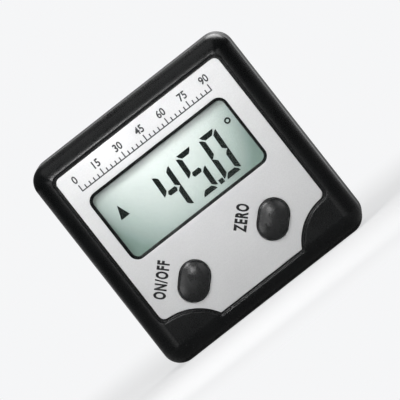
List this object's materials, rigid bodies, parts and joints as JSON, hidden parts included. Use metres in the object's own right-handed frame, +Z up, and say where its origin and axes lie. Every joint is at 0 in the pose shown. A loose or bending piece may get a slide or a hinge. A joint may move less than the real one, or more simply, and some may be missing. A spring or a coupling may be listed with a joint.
{
  "type": "digital inclinometer",
  "caption": "Square pocket angle gauge: black case with magnetic base, silver face, liquid-crystal display and domed push buttons; coin-slot battery cover at the back.",
  "frame": {"origin": "centre of the flat resting face, under the middle of the case without its buttons", "axes": "+X to the right as seen from the front, +Y to the back, +Z up; the display looks along -Y"},
  "size_m": [0.0508, 0.034, 0.0508],
  "materials": {
    "black_plastic": "moulded, fine satin grain",
    "label_foil": "silver foil, fine matt grain",
    "clear_lens": "clear moulded plastic",
    "display_glass": "thin flat glass",
    "polariser_film": "grey-green film",
    "reflector_film": "grey-green, reflecting",
    "button_rubber": "satin, slightly textured",
    "holder_plastic": "white moulding",
    "strip_rubber": "soft, striped",
    "board_laminate": "green solder mask",
    "chip_epoxy": "black epoxy",
    "component_metal": "tinned and ceramic",
    "magnet_nickel": "nickel plated",
    "switch_plastic": "black moulding",
    "switch_steel": "stamped plate",
    "plunger_plastic": "dark moulding",
    "frame_plastic": "glass-filled moulding",
    "yoke_steel": "zinc plated",
    "brass": "machined",
    "disc_laminate": "laminate with copper pattern",
    "bearing_steel": "ground and polished",
    "shaft_steel": "ground",
    "screw_steel": "black zinc",
    "gasket_rubber": "soft, flat",
    "cell_steel": "nickel-plated can",
    "contact_metal": "nickel-plated spring strip",
    "lead_red": "wire insulation",
    "lead_black": "wire insulation"
  },
  "bodies": {
    "case": {"front_housing": "black_plastic", "rear_cover": "black_plastic", "rear_cover_screws": "screw_steel", "face_label": "label_foil", "display_window": "clear_lens", "display_front_polariser": "polariser_film", "display_front_glass": "display_glass", "display_rear_glass": "display_glass", "display_reflector": "reflector_film", "display_holder": "holder_plastic", "contact_strip": "strip_rubber", "main_board": "board_laminate", "processor_cap": "chip_epoxy", "board_components": "component_metal", "power_switch_base": "switch_plastic", "power_switch_plate": "switch_steel", "power_switch_dome": "switch_steel", "zero_switch_base": "switch_plastic", "zero_switch_plate": "switch_steel", "zero_switch_dome": "switch_steel", "base_magnets": "magnet_nickel", "sensor_frame": "frame_plastic", "sensor_screws": "screw_steel", "damper_yoke": "yoke_steel", "damper_magnets": "magnet_nickel", "bearing_carrier": "brass", "front_bearing_outer_ring": "bearing_steel", "rear_bearing_outer_ring": "bearing_steel", "coin_cell": "cell_steel", "negative_contact": "contact_metal", "positive_contact": "contact_metal", "positive_lead": "lead_red", "negative_lead": "lead_black"},
    "power_button": {"power_button": "button_rubber", "power_switch_plunger": "plunger_plastic"},
    "zero_button": {"zero_button": "button_rubber", "zero_switch_plunger": "plunger_plastic"},
    "pendulum": {"scale_disc": "disc_laminate", "pendulum_weight": "brass", "weight_rivets": "shaft_steel", "pendulum_hub": "brass", "pendulum_shaft": "shaft_steel", "front_bearing_inner_ring": "bearing_steel", "rear_bearing_inner_ring": "bearing_steel", "bearing_spacer": "brass", "shaft_clip": "shaft_steel"},
    "front_balls": {"front_bearing_balls": "bearing_steel"},
    "rear_balls": {"rear_bearing_balls": "bearing_steel"},
    "battery_cover": {"battery_cover": "black_plastic", "battery_gasket": "gasket_rubber"}
  },
  "joints": [
    {"name": "power_button_press", "type": "slide", "parent": "case", "child": "power_button", "axis": [0, 1, 0], "range_m": [0, 0.0005], "stiffness_N_per_m": 400, "springref_m": -0.002, "deforming": ["power_switch_dome"]},
    {"name": "zero_button_press", "type": "slide", "parent": "case", "child": "zero_button", "axis": [0, 1, 0], "range_m": [0, 0.0005], "stiffness_N_per_m": 400, "springref_m": -0.002, "deforming": ["zero_switch_dome"]},
    {"name": "pendulum_swing", "type": "hinge", "parent": "case", "child": "pendulum", "pos_m": [0, 0, 0.0254], "axis": [0, 1, 0], "continuous": true},
    {"name": "front_balls_orbit", "type": "hinge", "parent": "case", "child": "front_balls", "pos_m": [0, 0, 0.0254], "axis": [0, 1, 0], "continuous": true},
    {"name": "rear_balls_orbit", "type": "hinge", "parent": "case", "child": "rear_balls", "pos_m": [0, 0, 0.0254], "axis": [0, 1, 0], "continuous": true},
    {"name": "battery_cover_turn", "type": "hinge", "parent": "case", "child": "battery_cover", "pos_m": [0, 0, 0.0254], "axis": [0, 1, 0], "range_deg": [0, 40]}
  ],
  "couplings": [
    {"joint": "front_balls_orbit", "follows": "pendulum_swing", "ratio": 0.3571},
    {"joint": "rear_balls_orbit", "follows": "pendulum_swing", "ratio": 0.3571}
  ]
}
